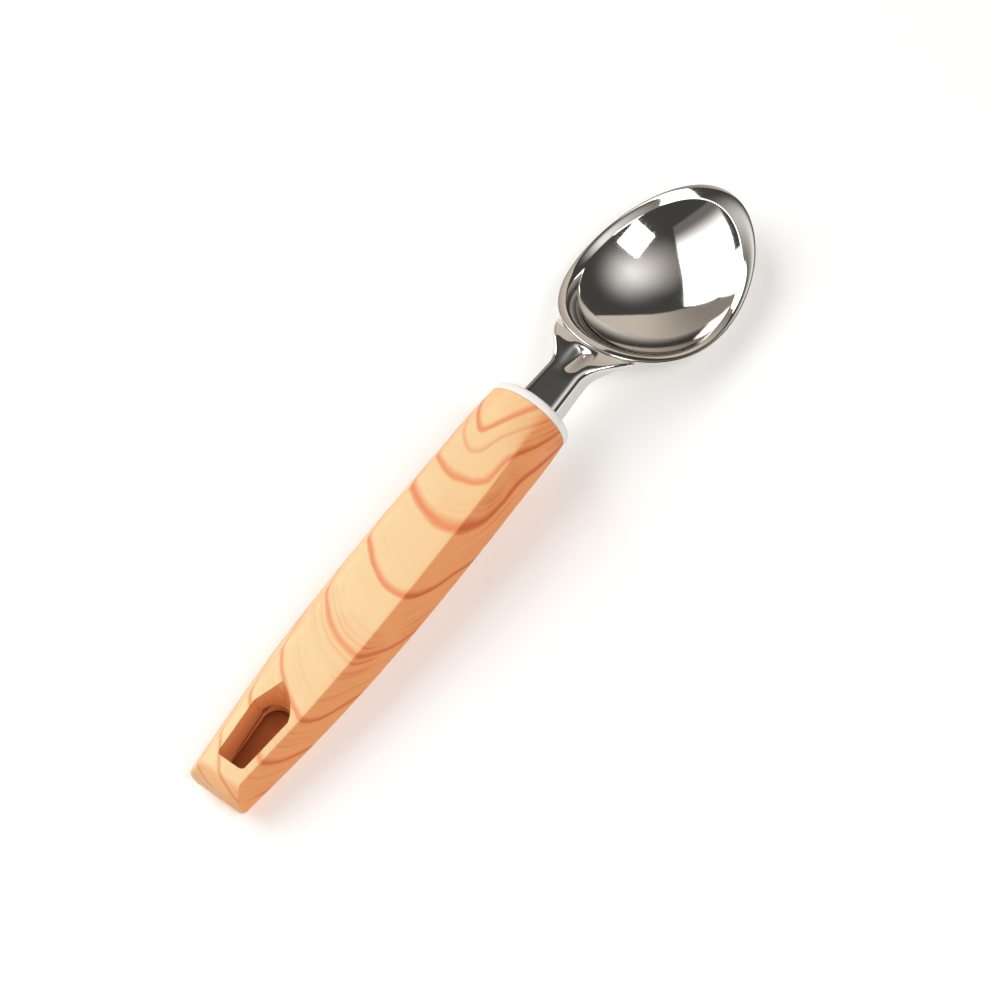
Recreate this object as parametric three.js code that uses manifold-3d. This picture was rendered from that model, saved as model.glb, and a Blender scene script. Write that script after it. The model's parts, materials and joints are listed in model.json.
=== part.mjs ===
// Ice cream scoop: a pressed bowl welded to a channel-shaped neck that is pinned into a moulded grip.
// Millimetres. Everything is drawn along the grip axis, +X towards the bowl, +Y to the left, +Z up.
// The finished scoop is then laid down bowl up, resting on the bowl and on the butt of the grip.
import * as THREE from 'three';
import { mergeVertices } from 'three/addons/utils/BufferGeometryUtils.js';
import Module from 'manifold-3d';

const wasm = await Module();
wasm.setup();

// Fits and stock
const GAP = 0.3;                // clearance between neighbouring pieces
const SHEET = 1.1;              // thickness of the pressed steel

// Grip
const GRIP_LENGTH = 119.5;
const GRIP_WIDTH = 25;
const GRIP_HEIGHT = 20.4;
const FACET_SHARE = 0.63;       // width of the flat top and bottom against the full width
const ROUND_LENGTH = 24;        // the facets run into a round over this length at the front
const ROUND_END = 3.6;          // the last bit of it is fully round
const BUTT_BEVEL = 1;           // length and depth of the bevel round the butt
const BUTT_BEVEL_DEPTH = 1;
const BUTT_ROLL = 2.9;          // seen from the side the end rolls over by this length
const BUTT_BULGE = 0.4;         // what the flat end takes off that roll
// Side view and top view of the grip: share of the length, of the half width, of the half height
const GRIP_OUTLINE = [
  [0.00, 0.665, 0.680],
  [0.12, 0.790, 0.685],
  [0.25, 0.900, 0.720],
  [0.40, 0.975, 0.800],
  [0.57, 1.000, 0.885],
  [0.76, 0.985, 0.955],
  [0.90, 0.945, 0.995],
  [1.00, 0.885, 1.000],
];

// Hanging slot near the butt, a little wider to the front, with a scooped lead-in on the top
const SLOT_START = 6.2;
const SLOT_STRAIGHT = 15.2;     // length of the straight sides
const SLOT_REAR_WIDTH = 7.8;
const SLOT_FRONT_WIDTH = 10;
const SLOT_CORNER = 1.2;
const SLOT_LEAN = 1.2;          // the left wall leans in by this down to the ledge
const SLOT_UNDER = 1;           // and on to this distance from the middle at the underside
const SLOT_DRAFT = 0.2;         // the right wall is nearly upright, and steps in once more by the same
const SLOT_LEDGE = 0.4;         // step half way down, where the two mould halves meet
const SLOT_LEDGE_Z = -0.8;
const LEAD_LENGTH = 7.7;        // the lead-in reaches this far past the straight sides
const LEAD_OFFSET = 2.7;        // its point lies left of the middle
const LEAD_BOW = 0.64;          // its edges bow out, one gives a square end
const LEAD_Z = 2.2;             // height at which it drops into the slot

// Socket in the grip for the tang and its core
const SOCKET_DEPTH = 69.5;
const SOCKET_WALL = 2.8;        // wall of the grip round the socket

// Collar that closes the front of the grip
const COLLAR_LENGTH = 2.7;
const COLLAR_ROUND = 0.9;
const SPIGOT_LENGTH = 5;

// Neck and tang, one channel open downwards
const TANG_LENGTH = 59.5;       // inside the grip
const TANG_WIDTH = 8.8;
const TANG_TOP = 1.7;
const TANG_WALL = 4.8;
const NECK_LENGTH = 22.6;       // from the collar to the rim
const NECK_WIDTH = 11.3;        // at the collar
const NECK_TOP = 2.1;
const NECK_WALL = 6.2;
const WAIST_REACH = 13.3;       // from the collar to the narrowest place
const WAIST_WIDTH = 10.1;
const WAIST_TOP = 1.6;
const WAIST_WALL = 5.6;
const FOLD_INSIDE = 0.5;        // inside radius of the folded edges
const SPLAY = 0.08;             // the side walls lean out by this share of their depth
const WING_WIDTH = 24.2;        // the neck widens to this along the rim
const WING_TOP = 0.7;           // height of the wings before they bend down to the rim
const WING_DROP = 6;            // higher keeps them level for longer
const SWEEP_HOLD = 0.34;        // the edges run straight on for this share of the way to the rim
const SWEEP_TURN = 0.5;
const SWEEP_SPREAD = 0.88;      // share of the full spread at which they turn along the rim
const WALL_TAPER = 1.6;         // higher tapers the side walls sooner
const DART_LENGTH = 9.5;        // pressed stiffening dart in the middle of the neck
const DART_WIDTH = 6;
const DART_DEPTH = 1.2;
const DART_END = 1.5;           // length of its steep front end
const DART_MARGIN = 0.4;        // left flat next to the rim

// Pins that lock the tang in the core
const PIN_DIAMETER = 3;
const PIN_DEPTH = 18.5;         // from the mouth of the grip to the front pin
const PIN_SPACING = 27;

// Bowl
const RIM_LENGTH = 61.2;
const RIM_WIDTH = 44;
const RIM_EGG = 0.06;           // the rim is fuller towards the neck
const RIM_NECK_Z = 0.2;         // rim height at the neck, at its lowest and at the tip
const RIM_LOW_Z = -11.2;
const RIM_TIP_Z = -6.5;
const RIM_LOW_SHARE = 0.54;     // place of the lowest point along the rim
const LIP_SIDE = 3.1;           // width of the lip at the sides, at the tip and at the neck
const LIP_TIP = 5.4;
const LIP_NECK = 3;
const LIP_SLOPE = 18;           // degrees, the lip falls inwards
const LIP_BEND = 1.7;           // run of the bend on the lip
const SHOULDER_RUN = 5.2;       // towards the neck a steep shoulder leads from the lip down to the wall
const SHOULDER_DROP = 8.8;
const BEND_SHARE = 0.99;        // the bend meets the wall at this share of the wall's radius
const BOWL_FLOOR_Z = -18.5;
const WALL_FULLNESS = 0.7;      // nearer to one gives a steeper wall

// Welds under the joint of neck and rim
const WELD_RADIUS = 0.7;
const WELD_FROM = 3.4;
const WELD_TO = 10.4;

// Places along the axis that follow from the sizes above
const COLLAR_FRONT = GRIP_LENGTH + COLLAR_LENGTH;
const SOCKET_END = GRIP_LENGTH - SOCKET_DEPTH;
const TANG_START = GRIP_LENGTH - TANG_LENGTH;
const PIN_FRONT_X = GRIP_LENGTH - PIN_DEPTH;
const PIN_REAR_X = PIN_FRONT_X - PIN_SPACING;
const WAIST_X = COLLAR_FRONT + WAIST_REACH;
const RIM_START = COLLAR_FRONT + NECK_LENGTH;
const RIM_X = RIM_START + RIM_LENGTH / 2;
const FOLD_RADIUS = FOLD_INSIDE + SHEET;

const rad = THREE.MathUtils.degToRad;
const mix = THREE.MathUtils.lerp;
const ease = THREE.MathUtils.smoothstep;

// Closed solid from corner points and triangles
function solid(points, triangles) {
  const vertProperties = new Float32Array(points.flatMap((p) => [p.x, p.y, p.z]));
  const triVerts = new Uint32Array(triangles.flat());
  return new wasm.Manifold(new wasm.Mesh({ numProp: 3, vertProperties, triVerts }));
}

function solidFrom(geometry) {
  geometry.deleteAttribute('normal');
  geometry.deleteAttribute('uv');
  const merged = mergeVertices(geometry, 1e-5);
  const vertProperties = new Float32Array(merged.attributes.position.array);
  const triVerts = new Uint32Array(merged.index.array);
  return new wasm.Manifold(new wasm.Mesh({ numProp: 3, vertProperties, triVerts }));
}

// Smooth value between the rows of an outline
function along(rows, column, share) {
  const last = rows.length - 1;
  let i = 0;
  while (i < last - 1 && share > rows[i + 1][0]) {
    i += 1;
  }
  const slope = (k) => {
    const a = rows[Math.max(k - 1, 0)];
    const b = rows[Math.min(k + 1, last)];
    return (b[column] - a[column]) / (b[0] - a[0]);
  };
  const step = rows[i + 1][0] - rows[i][0];
  const t = THREE.MathUtils.clamp((share - rows[i][0]) / step, 0, 1);
  const h1 = t * t * (3 - 2 * t);
  const h2 = t * (1 - t) * (1 - t);
  const h3 = t * t * (t - 1);
  const line = mix(rows[i][column], rows[i + 1][column], h1);
  return line + step * (h2 * slope(i) + h3 * slope(i + 1));
}

// Solid through closed loops that follow each other along +X
function loft(loops) {
  const count = loops[0].length;
  const points = loops.flat();
  const triangles = [];
  for (let i = 0; i + 1 < loops.length; i += 1) {
    for (let j = 0; j < count; j += 1) {
      const a = i * count + j;
      const b = i * count + ((j + 1) % count);
      triangles.push([a, b, a + count], [a + count, b, b + count]);
    }
  }
  [loops[0], loops[loops.length - 1]].forEach((loop, end) => {
    const centre = points.length;
    const base = end ? (loops.length - 1) * count : 0;
    const sum = loop.reduce((s, p) => s.add(p), new THREE.Vector3());
    points.push(sum.divideScalar(count));
    for (let j = 0; j < count; j += 1) {
      const a = base + j;
      const b = base + ((j + 1) % count);
      triangles.push(end ? [centre, a, b] : [centre, b, a]);
    }
  });
  return solid(points, triangles);
}

function ellipseLoop(x, halfWidth, halfHeight, count = 36) {
  return Array.from({ length: count }, (_, k) => {
    const turn = (2 * Math.PI * k) / count;
    return new THREE.Vector3(x, halfWidth * Math.cos(turn), halfHeight * Math.sin(turn));
  });
}

// Grip section: a flat-topped hexagon with softened corners that turns round at the front
const CORNER_POWER = 28;        // higher gives crisper corners
const SECTION_STEPS = [0, 0.15, 0.45, 0.8, 0.94, 1, 1.06, 1.2, 1.55];

function gripHalfWidth(x) {
  return (GRIP_WIDTH / 2) * along(GRIP_OUTLINE, 1, x / GRIP_LENGTH);
}

function gripHalfHeight(x) {
  return (GRIP_HEIGHT / 2) * along(GRIP_OUTLINE, 2, x / GRIP_LENGTH);
}

function gripRadius(turn, width, height, round) {
  const c = Math.abs(Math.cos(turn));
  const s = Math.abs(Math.sin(turn));
  const wide = width * 2 ** (1 / CORNER_POWER);
  const fall = ((1 - FACET_SHARE) * s) / height;
  const terms = [s / height, c / wide + fall, Math.max(c / wide - fall, 0)];
  const hexagon = terms.reduce((sum, t) => sum + t ** CORNER_POWER, 0) ** (-1 / CORNER_POWER);
  const ellipse = 1 / Math.hypot(c / width, s / height);
  return mix(hexagon, ellipse, round);
}

function gripLoop(x, sectionX, inset = 0) {
  const width = gripHalfWidth(sectionX);
  const height = gripHalfHeight(sectionX);
  const round = ease(sectionX, GRIP_LENGTH - ROUND_LENGTH, GRIP_LENGTH - ROUND_END);
  const corner = Math.atan2(height, FACET_SHARE * width);
  const quarter = SECTION_STEPS.map((t) => {
    return t <= 1 ? t * corner : corner + (t - 1) * (Math.PI / 2 - corner);
  });
  const half = [...quarter, Math.PI / 2, ...quarter.slice(1).reverse().map((a) => Math.PI - a)];
  const turns = [...half, ...half.map((a) => a + Math.PI)];
  return turns.map((turn) => {
    const r = gripRadius(turn, width, height, round) * (1 - inset / width);
    return new THREE.Vector3(x, r * Math.cos(turn), r * Math.sin(turn));
  });
}

// Everything in front of the rolled end of the butt
function buttRoll() {
  const half = gripHalfHeight(BUTT_ROLL);
  const drop = BUTT_ROLL + BUTT_BULGE;
  const radius = (half ** 2 + drop ** 2) / (2 * drop);
  const middle = radius - BUTT_BULGE;
  const roll = new THREE.CylinderGeometry(radius, radius, 2 * GRIP_WIDTH, 90);
  const rest = new THREE.BoxGeometry(GRIP_LENGTH, 2 * GRIP_WIDTH, 2 * GRIP_HEIGHT);
  roll.translate(middle, 0, 0);
  rest.translate(middle + GRIP_LENGTH / 2, 0, 0);
  return solidFrom(roll).add(solidFrom(rest));
}

// Socket and everything that fits it, shrunk by the clearance where needed
function socketHalf(x, gripHalf) {
  const t = (x - SOCKET_END) / SOCKET_DEPTH;
  return mix(gripHalf(SOCKET_END), gripHalf(GRIP_LENGTH), t) - SOCKET_WALL;
}

function socketLoop(x, shrink) {
  return ellipseLoop(x, socketHalf(x, gripHalfWidth) - shrink, socketHalf(x, gripHalfHeight) - shrink);
}

// Hanging slot as a loop round its walls at one level: distances of the left wall, inset of the right wall
function slotLoop(rearLeft, frontLeft, inset, cap, z, capZ = z) {
  const bend = SLOT_START + SLOT_STRAIGHT;
  const frontRight = SLOT_FRONT_WIDTH / 2 - inset;
  const corner = (reach, side) => [0, 30, 60, 90].map((degrees) => {
    const x = SLOT_START + SLOT_CORNER * (1 - Math.sin(rad(degrees)));
    return new THREE.Vector3(x, side * (reach - SLOT_CORNER * (1 - Math.cos(rad(degrees)))), z);
  });
  return [
    ...corner(SLOT_REAR_WIDTH / 2 - inset, -1).reverse(),
    new THREE.Vector3(bend, -frontRight, z),
    ...cap(bend, frontRight, frontLeft).map((p) => new THREE.Vector3(p.x, p.y, capZ)),
    new THREE.Vector3(bend, frontLeft, z),
    ...corner(rearLeft, 1),
  ];
}

function roundCap(bend, right, left) {
  const radius = (left + right) / 2;
  const middle = (left - right) / 2;
  return [-75, -60, -45, -30, -15, 0, 15, 30, 45, 60, 75].map((degrees) => {
    return new THREE.Vector2(bend + radius * Math.cos(rad(degrees)), middle + radius * Math.sin(rad(degrees)));
  });
}

function pointedCap(bend, right, left) {
  const tip = new THREE.Vector2(bend + LEAD_LENGTH, LEAD_OFFSET);
  const edge = (y) => new THREE.QuadraticBezierCurve(
    new THREE.Vector2(bend, y),
    new THREE.Vector2(bend + LEAD_BOW * LEAD_LENGTH, LEAD_BOW * y),
    tip,
  ).getPoints(6);
  return [...edge(-right).slice(1), ...edge(left).slice(1, -1).reverse()];
}

function hangingSlot() {
  const tip = SLOT_START + SLOT_STRAIGHT + LEAD_LENGTH;
  const top = gripHalfHeight(tip) + GAP;
  const rear = SLOT_REAR_WIDTH / 2;
  const front = SLOT_FRONT_WIDTH / 2;
  const funnel = loft([
    slotLoop(rear - SLOT_LEAN, front - SLOT_LEAN, SLOT_DRAFT, roundCap, SLOT_LEDGE_Z, LEAD_Z),
    slotLoop(rear, front, 0, pointedCap, top),
  ]);
  const ledge = SLOT_LEAN + SLOT_LEDGE;
  const through = loft([
    slotLoop(SLOT_UNDER, SLOT_UNDER, 2 * SLOT_DRAFT, roundCap, -top),
    slotLoop(rear - ledge, front - ledge, 2 * SLOT_DRAFT, roundCap, SLOT_LEDGE_Z),
    slotLoop(rear - ledge, front - ledge, 2 * SLOT_DRAFT, roundCap, top),
  ]);
  return funnel.add(through);
}

// Rim of the bowl
function rimHeight(x) {
  const low = RIM_START + RIM_LOW_SHARE * RIM_LENGTH;
  const end = x < low ? RIM_START : RIM_START + RIM_LENGTH;
  const rise = x < low ? RIM_NECK_Z - RIM_LOW_Z : RIM_TIP_Z - RIM_LOW_Z;
  return RIM_LOW_Z + rise * ((x - low) / (end - low)) ** 2;
}

function rimPoint(turn) {
  const x = RIM_X + (RIM_LENGTH / 2) * Math.cos(turn);
  const y = (RIM_WIDTH / 2) * Math.sin(turn) * (1 - RIM_EGG * Math.cos(turn));
  return new THREE.Vector3(x, y, rimHeight(x));
}

// Point on the neck side of the rim at a given distance from the middle
function rimAtNeck(y) {
  let turn = Math.PI;
  for (let i = 0; i < 12; i += 1) {
    const reach = (RIM_WIDTH / 2) * (1 - RIM_EGG * Math.cos(turn));
    turn = Math.PI - Math.asin(y / reach);
  }
  return rimPoint(turn);
}

// Upper side of the bowl sheet from the rim to the middle, as distance from the middle and height
function bowlProfile(turn) {
  const rim = rimPoint(turn);
  const radius = Math.hypot(rim.x - RIM_X, rim.y);
  const neck = Math.max(-Math.cos(turn), 0) ** 2;
  const tip = Math.max(Math.cos(turn), 0) ** 2;
  const lip = mix(mix(LIP_SIDE, LIP_TIP, tip), LIP_NECK, neck);
  const inside = new THREE.Vector2(radius - lip, rim.z - lip * Math.tan(rad(LIP_SLOPE)));
  const edge = new THREE.Vector2(inside.x - SHOULDER_RUN * neck, inside.y - SHOULDER_DROP * neck);
  const start = Math.sqrt(1 - WALL_FULLNESS ** 2);
  const wall = (r) => {
    const share = (Math.sqrt(1 - (WALL_FULLNESS * r) ** 2) - start) / (1 - start);
    return new THREE.Vector2(edge.x * r, mix(edge.y, BOWL_FLOOR_Z, share));
  };
  const bendOut = new THREE.Vector2(inside.x + LIP_BEND, inside.y + LIP_BEND * Math.tan(rad(LIP_SLOPE)));
  const bend = new THREE.CubicBezierCurve(bendOut, inside, edge, wall(BEND_SHARE)).getPoints(7);
  const shares = [0.965, 0.92, 0.85, 0.75, 0.62, 0.48, 0.32, 0.16];
  return [new THREE.Vector2(radius, rim.z), ...bend, ...shares.map(wall)];
}

// The same profile moved down and out by the sheet thickness, with an upright edge at the rim
function underside(profile) {
  return profile.map((p, i) => {
    if (i === 0) {
      return new THREE.Vector2(p.x, p.y - SHEET / Math.cos(rad(LIP_SLOPE)));
    }
    const after = profile[i + 1] ?? new THREE.Vector2(0, p.y);
    const run = after.clone().sub(profile[i - 1]).normalize();
    return new THREE.Vector2(p.x - SHEET * run.y, p.y + SHEET * run.x);
  });
}

function bowl() {
  const count = 64;
  const points = [];
  const triangles = [];
  const rows = bowlProfile(0).length;
  for (let k = 0; k < count; k += 1) {
    const turn = (2 * Math.PI * k) / count;
    const rim = rimPoint(turn);
    const out = new THREE.Vector2(rim.x - RIM_X, rim.y).normalize();
    const upper = bowlProfile(turn);
    [...upper, ...underside(upper)].forEach((p) => {
      points.push(new THREE.Vector3(RIM_X + out.x * p.x, out.y * p.x, p.y));
    });
  }
  const at = (k, row) => (k % count) * 2 * rows + row;
  const top = points.length;
  points.push(new THREE.Vector3(RIM_X, 0, BOWL_FLOOR_Z));
  points.push(new THREE.Vector3(RIM_X, 0, BOWL_FLOOR_Z - SHEET));
  for (let k = 0; k < count; k += 1) {
    for (let row = 0; row + 1 < rows; row += 1) {
      const a = at(k, row);
      const b = at(k + 1, row);
      triangles.push([a, b, a + 1], [b, b + 1, a + 1]);
      triangles.push([a + rows, a + rows + 1, b + rows], [b + rows, a + rows + 1, b + rows + 1]);
    }
    triangles.push([at(k, rows - 1), at(k + 1, rows - 1), top]);
    triangles.push([at(k + 1, 2 * rows - 1), at(k, 2 * rows - 1), top + 1]);
    triangles.push([at(k + 1, 0), at(k, 0), at(k, rows)], [at(k + 1, 0), at(k, rows), at(k + 1, rows)]);
  }
  return solid(points, triangles);
}

// Channel section across the neck, as pairs of outer and inner points from the right to the left
const WEB_STEPS = [0, 0.07, 0.14, 0.22, 0.32, 0.46, 0.62, 0.8, 1];
const FOLD_STEPS = [30, 60, 90];

function channelSection(width, wall, grow) {
  const half = width / 2;
  const flat = half - FOLD_RADIUS;
  const outerR = FOLD_RADIUS + grow;
  const innerR = FOLD_INSIDE - grow;
  const lean = SPLAY * (wall - FOLD_RADIUS);
  const left = WEB_STEPS.map((t) => ({ y: t * flat, outer: [0, grow], inner: [0, -SHEET - grow] }));
  FOLD_STEPS.forEach((degrees) => {
    const s = Math.sin(rad(degrees));
    const c = Math.cos(rad(degrees));
    const outer = [outerR * s, outerR * c - FOLD_RADIUS];
    const inner = [innerR * s, innerR * c - FOLD_RADIUS];
    left.push({ y: flat, outer, inner });
  });
  const foot = -wall - grow;
  left.push({ y: flat, outer: [outerR + lean, foot], inner: [innerR + lean, foot] });
  const right = left.slice(1).reverse().map((p) => ({
    y: -p.y,
    outer: [-p.outer[0], p.outer[1]],
    inner: [-p.inner[0], p.inner[1]],
  }));
  return [...right, ...left];
}

// The dart is pressed into the web by this
function dart(x, y) {
  const front = RIM_START - GAP - DART_MARGIN;
  const deepest = front - DART_END;
  const across = Math.cos((Math.PI / 2) * Math.min(Math.abs(y) / (DART_WIDTH / 2), 1)) ** 2;
  const rise = ease(x, deepest - DART_LENGTH, deepest);
  return DART_DEPTH * across * rise * (1 - ease(x, deepest, front));
}

// Sheet through rows of outer and inner points
function sheet(rows) {
  const count = rows[0].outer.length;
  const points = rows.flatMap((row) => [...row.outer, ...row.inner]);
  const outer = (i, k) => i * 2 * count + k;
  const inner = (i, k) => outer(i, k) + count;
  const triangles = [];
  const quad = (a, b, c, d) => triangles.push([a, b, c], [a, c, d]);
  const last = rows.length - 1;
  for (let i = 0; i < last; i += 1) {
    for (let k = 0; k + 1 < count; k += 1) {
      quad(outer(i, k), outer(i + 1, k), outer(i + 1, k + 1), outer(i, k + 1));
      quad(inner(i, k), inner(i, k + 1), inner(i + 1, k + 1), inner(i + 1, k));
    }
    quad(outer(i + 1, 0), outer(i, 0), inner(i, 0), inner(i + 1, 0));
    const e = count - 1;
    quad(outer(i, e), outer(i + 1, e), inner(i + 1, e), inner(i, e));
  }
  for (let k = 0; k + 1 < count; k += 1) {
    quad(outer(0, k), outer(0, k + 1), inner(0, k + 1), inner(0, k));
    quad(outer(last, k + 1), outer(last, k), inner(last, k), inner(last, k + 1));
  }
  return solid(points, triangles);
}

function straightRow(x, width, top, wall, grow = 0) {
  const section = channelSection(width, wall, grow);
  const point = (p, side) => {
    const y = p.y + p[side][0];
    return new THREE.Vector3(x, y, top + p[side][1] - dart(x, y));
  };
  return {
    outer: section.map((p) => point(p, 'outer')),
    inner: section.map((p) => point(p, 'inner')),
  };
}

// Tang and neck up to the waist, tapering both ways from the collar
function channelRow(x, grow = 0) {
  const behind = x < COLLAR_FRONT;
  const t = behind
    ? (x - TANG_START) / (COLLAR_FRONT - TANG_START)
    : (x - COLLAR_FRONT) / WAIST_REACH;
  const width = behind ? mix(TANG_WIDTH, NECK_WIDTH, t) : mix(NECK_WIDTH, WAIST_WIDTH, t);
  const top = behind ? mix(TANG_TOP, NECK_TOP, t) : mix(NECK_TOP, WAIST_TOP, t);
  const wall = behind ? mix(TANG_WALL, NECK_WALL, t) : mix(NECK_WALL, WAIST_WALL, t);
  return straightRow(x, width, top, wall, grow);
}

// Neck from the waist to the rim: the edges sweep out and the front follows the rim
function wingRow(s) {
  const half = WING_WIDTH / 2;
  const tip = rimAtNeck(half);
  const middle = rimAtNeck(0);
  const sweep = new THREE.CubicBezierCurve(
    new THREE.Vector2(WAIST_X, WAIST_WIDTH / 2),
    new THREE.Vector2(mix(WAIST_X, tip.x, SWEEP_HOLD), WAIST_WIDTH / 2),
    new THREE.Vector2(mix(WAIST_X, tip.x, SWEEP_TURN), SWEEP_SPREAD * half),
    new THREE.Vector2(tip.x - GAP, half),
  ).getPoint(s);
  const front = middle.x - GAP;
  const centreX = mix(WAIST_X, front, s);
  const centreZ = mix(WAIST_TOP, middle.z, s);
  const edgeZ = mix(WAIST_TOP, WING_TOP, s) + (tip.z - WING_TOP) * s ** WING_DROP;
  const bow = (sweep.x - centreX) / (tip.x - middle.x);
  const dish = (edgeZ - centreZ) / (tip.z - middle.z);
  const wall = mix(WAIST_WALL, FOLD_RADIUS, 1 - (1 - s) ** WALL_TAPER);
  const point = (p, side) => {
    const y = p.y + p[side][0];
    const on = rimAtNeck(THREE.MathUtils.clamp((y * half) / sweep.y, -half, half));
    const x = centreX + (on.x - middle.x) * bow;
    const z = centreZ + (on.z - middle.z) * dish + p[side][1];
    return new THREE.Vector3(x, y, z - dart(x, y));
  };
  const section = channelSection(2 * sweep.y, wall, 0);
  return {
    outer: section.map((p) => point(p, 'outer')),
    inner: section.map((p) => point(p, 'inner')),
  };
}

function pinSolid(x, radius, halfLength) {
  const geometry = new THREE.CylinderGeometry(radius, radius, 2 * halfLength, 24);
  geometry.rotateX(Math.PI / 2);
  return solidFrom(geometry.translate(x, 0, 0));
}

function neck() {
  const steps = [0.12, 0.24, 0.36, 0.48, 0.6, 0.7, 0.78, 0.84, 0.9, 0.95, 1];
  const rows = [
    ...[TANG_START, PIN_REAR_X, PIN_FRONT_X, COLLAR_FRONT].map((x) => channelRow(x)),
    ...[0.25, 0.5, 0.75, 0.83, 0.92, 1].map((t) => channelRow(mix(COLLAR_FRONT, WAIST_X, t))),
    ...steps.map(wingRow),
  ];
  return [PIN_REAR_X, PIN_FRONT_X].reduce((body, x) => {
    return body.subtract(pinSolid(x, PIN_DIAMETER / 2 + GAP, GRIP_HEIGHT));
  }, sheet(rows));
}

// Room for the channel in the pieces that hold it
const channelRoom = sheet([TANG_START - GAP, COLLAR_FRONT, WAIST_X].map((x) => channelRow(x, GAP)));

function handleShell() {
  const shares = [0.05, 0.1, 0.16, 0.22, 0.3, 0.4, 0.5, 0.6, 0.7, 0.78, 0.84, 0.88, 0.92, 0.96, 1];
  const loops = [
    gripLoop(0, BUTT_BEVEL, BUTT_BEVEL_DEPTH),
    gripLoop(BUTT_BEVEL, BUTT_BEVEL),
    ...shares.map((s) => gripLoop(s * GRIP_LENGTH, s * GRIP_LENGTH)),
  ];
  const socket = loft([socketLoop(SOCKET_END, 0), socketLoop(GRIP_LENGTH + 1, 0)]);
  return loft(loops)
    .intersect(buttRoll())
    .subtract(socket)
    .subtract(channelRoom)
    .subtract(hangingSlot());
}

function tangCore() {
  const from = SOCKET_END + GAP;
  const to = GRIP_LENGTH - SPIGOT_LENGTH - GAP;
  const body = loft([socketLoop(from, GAP), socketLoop(to, GAP)]).subtract(channelRoom);
  return [PIN_REAR_X, PIN_FRONT_X].reduce((core, x) => {
    return core.subtract(pinSolid(x, PIN_DIAMETER / 2 + GAP, GRIP_HEIGHT));
  }, body);
}

function tangPin(x) {
  return pinSolid(x, PIN_DIAMETER / 2, socketHalf(x, gripHalfHeight) - 2 * GAP);
}

function frontCollar() {
  const halfWidth = gripHalfWidth(GRIP_LENGTH);
  const halfHeight = gripHalfHeight(GRIP_LENGTH);
  const seat = GRIP_LENGTH + GAP;
  const rim = [0, 30, 60, 90].map((degrees) => {
    const inset = COLLAR_ROUND * (1 - Math.cos(rad(degrees)));
    const x = COLLAR_FRONT - COLLAR_ROUND * (1 - Math.sin(rad(degrees)));
    return ellipseLoop(x, halfWidth - inset, halfHeight - inset);
  });
  const loops = [
    socketLoop(GRIP_LENGTH - SPIGOT_LENGTH, GAP),
    socketLoop(seat, GAP),
    ellipseLoop(seat, halfWidth, halfHeight),
    ...rim,
  ];
  return loft(loops).subtract(channelRoom);
}

// Weld bead under the joint, on one side of the dart
function weldSeam(side) {
  const path = new THREE.CatmullRomCurve3([0, 0.33, 0.67, 1].map((t) => {
    const p = rimAtNeck(mix(WELD_FROM, WELD_TO, t) * side);
    return new THREE.Vector3(p.x - GAP / 2, p.y, p.z - SHEET - 2 * GAP - WELD_RADIUS);
  }));
  const bead = new THREE.Shape().absarc(0, 0, WELD_RADIUS, 0, 2 * Math.PI, false);
  const options = { steps: 12, curveSegments: 5, extrudePath: path };
  return solidFrom(new THREE.ExtrudeGeometry(bead, options));
}

function meshOf(body, name, material) {
  const { vertProperties, triVerts } = body.getMesh();
  const geometry = new THREE.BufferGeometry();
  geometry.setAttribute('position', new THREE.BufferAttribute(new Float32Array(vertProperties), 3));
  geometry.setIndex(new THREE.BufferAttribute(new Uint32Array(triVerts), 1));
  geometry.computeVertexNormals();
  const mesh = new THREE.Mesh(geometry, material);
  mesh.name = name;
  return mesh;
}

const steel = { color: 0xb9b6b0, metalness: 1, roughness: 0.15 };
const pinSteel = { color: 0x8f8d88, metalness: 1, roughness: 0.4 };
const white = { color: 0xf4efea, metalness: 0, roughness: 0.45 };
const woodEffect = { color: 0xf2bd8a, metalness: 0, roughness: 0.55 };

const scoop = new THREE.Group();
const bowlMesh = meshOf(bowl(), 'bowl', new THREE.MeshStandardMaterial(steel));
scoop.add(
  bowlMesh,
  meshOf(neck(), 'neck', new THREE.MeshStandardMaterial(steel)),
  meshOf(weldSeam(1), 'weld_seam_left', new THREE.MeshStandardMaterial(steel)),
  meshOf(weldSeam(-1), 'weld_seam_right', new THREE.MeshStandardMaterial(steel)),
  meshOf(frontCollar(), 'front_collar', new THREE.MeshStandardMaterial(white)),
  meshOf(tangCore(), 'tang_core', new THREE.MeshStandardMaterial(white)),
  meshOf(tangPin(PIN_FRONT_X), 'tang_pin_front', new THREE.MeshStandardMaterial(pinSteel)),
  meshOf(tangPin(PIN_REAR_X), 'tang_pin_rear', new THREE.MeshStandardMaterial(pinSteel)),
  meshOf(handleShell(), 'handle_shell', new THREE.MeshStandardMaterial(woodEffect)),
);

// Lay the scoop down: the line from the lower edge of the butt to the bowl becomes level
const buttZ = -gripHalfHeight(BUTT_ROLL);
const bowlPoints = bowlMesh.geometry.attributes.position;
let lie = 0;
for (let i = 0; i < bowlPoints.count; i += 1) {
  const angle = Math.atan2(buttZ - bowlPoints.getZ(i), bowlPoints.getX(i) - BUTT_ROLL);
  lie = Math.max(lie, angle);
}
scoop.rotation.y = -lie;
scoop.updateMatrixWorld(true);

// Origin under the middle of the whole scoop, on the surface it lies on
const box = new THREE.Box3().setFromObject(scoop, true);
scoop.position.set(-(box.min.x + box.max.x) / 2, -(box.min.y + box.max.y) / 2, -box.min.z);

const part = new THREE.Group();
part.name = 'ice_cream_scoop';
part.add(scoop);
part.updateMatrixWorld(true);

export default part;
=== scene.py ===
import json
import math
from functools import partial

import bmesh
import bpy
from mathutils import Matrix, Vector


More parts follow.
